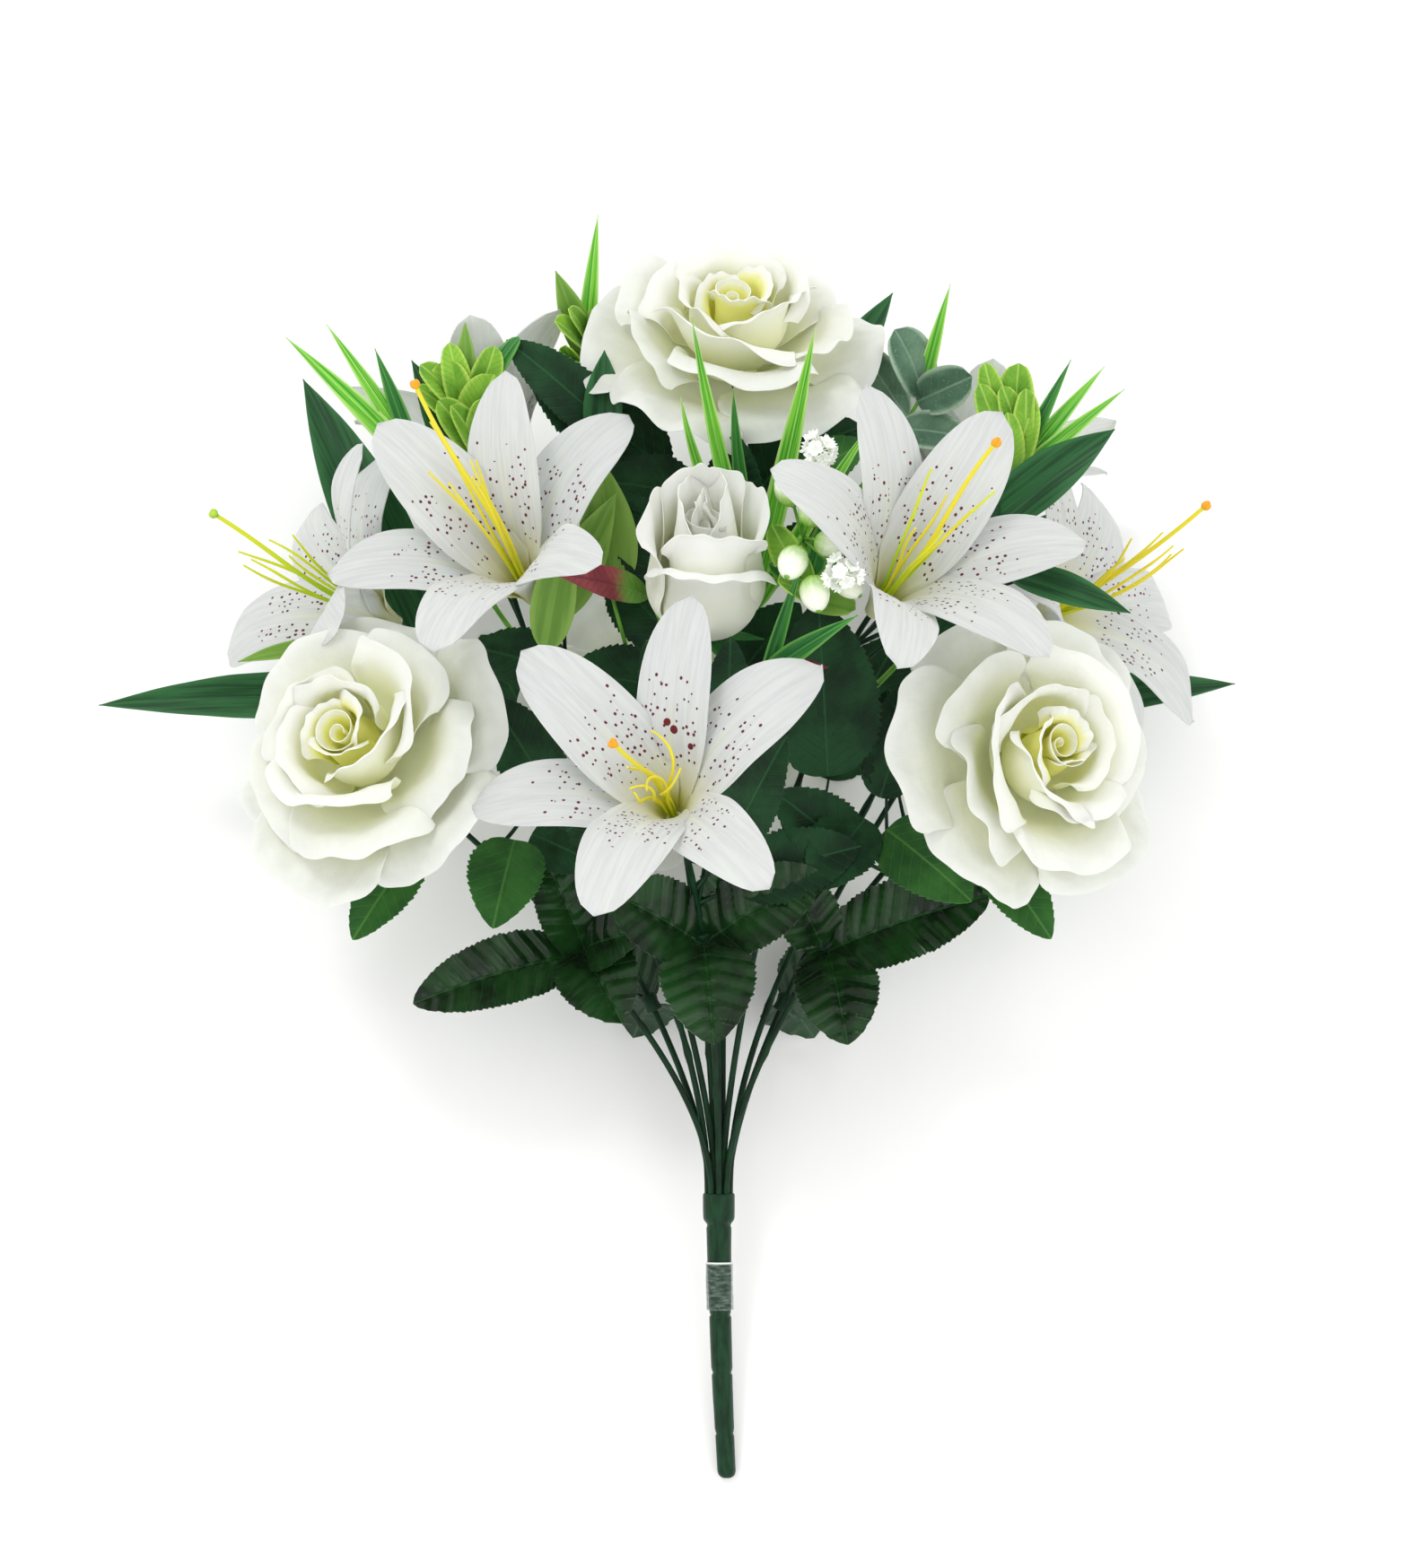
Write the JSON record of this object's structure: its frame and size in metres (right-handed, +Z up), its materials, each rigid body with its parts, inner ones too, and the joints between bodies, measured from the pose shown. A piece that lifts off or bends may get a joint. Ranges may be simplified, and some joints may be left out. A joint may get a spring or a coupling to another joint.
{
  "type": "mixed flower bouquet",
  "caption": "Artificial mixed flower bush of open roses, a rosebud and lilies with leaves, grass and berries, on stems set in one moulded handle, lying on its back.",
  "frame": {"origin": "middle of the underside of the bounding box, on the surface the bush lies on", "axes": "+Y from the handle towards the flower heads, +Z up off the surface, +X to the right as seen from above"},
  "size_m": [0.4372, 0.4702, 0.2131],
  "materials": {
    "handle_plastic": "moulded, slightly glossy",
    "clear_tape": "clear film",
    "stem_and_leaf": "moulded stem with printed matt leaves",
    "rose_cloth": "cream white woven petals, pale yellow-green in the middle",
    "lily_cloth": "white woven petals with small dark red specks",
    "stamen_plastic": "soft moulded, yellow",
    "gloss_leaf": "glossy pleated dark leaf",
    "light_green_plastic": "moulded blades and leaves",
    "grey_green_plastic": "dusty matt leaf",
    "burgundy_plastic": "matt leaf bud",
    "berry_foam": "smooth pale berries and white florets"
  },
  "bodies": {
    "root": {"handle": "handle_plastic", "tape_band": "clear_tape", "rose_top_stem": "stem_and_leaf", "rose_top_petals": "rose_cloth", "rose_left_stem": "stem_and_leaf", "rose_left_petals": "rose_cloth", "rose_right_stem": "stem_and_leaf", "rose_right_petals": "rose_cloth", "rose_back_stem": "stem_and_leaf", "rose_back_petals": "rose_cloth", "rosebud_stem": "stem_and_leaf", "rosebud_petals": "rose_cloth", "lily_front_stem": "stem_and_leaf", "lily_front_petals": "lily_cloth", "lily_front_stamens": "stamen_plastic", "lily_upper_left_stem": "stem_and_leaf", "lily_upper_left_petals": "lily_cloth", "lily_upper_left_stamens": "stamen_plastic", "lily_upper_right_stem": "stem_and_leaf", "lily_upper_right_petals": "lily_cloth", "lily_upper_right_stamens": "stamen_plastic", "lily_far_left_stem": "stem_and_leaf", "lily_far_left_petals": "lily_cloth", "lily_far_left_stamens": "stamen_plastic", "lily_far_right_stem": "stem_and_leaf", "lily_far_right_petals": "lily_cloth", "lily_far_right_stamens": "stamen_plastic", "lily_back_left_stem": "stem_and_leaf", "lily_back_left_petals": "lily_cloth", "lily_back_left_stamens": "stamen_plastic", "lily_back_right_stem": "stem_and_leaf", "lily_back_right_petals": "lily_cloth", "lily_back_right_stamens": "stamen_plastic", "collar_left": "gloss_leaf", "collar_middle": "gloss_leaf", "collar_right": "gloss_leaf", "collar_back_left": "gloss_leaf", "collar_back_right": "gloss_leaf", "grass_left": "light_green_plastic", "grass_middle": "light_green_plastic", "grass_right": "light_green_plastic", "grass_low": "light_green_plastic", "sprig_top": "light_green_plastic", "sprig_left": "light_green_plastic", "light_leaves": "light_green_plastic", "berry_spray": "light_green_plastic", "eucalyptus": "grey_green_plastic", "leaf_buds": "burgundy_plastic", "berries": "berry_foam"}
  },
  "joints": []
}
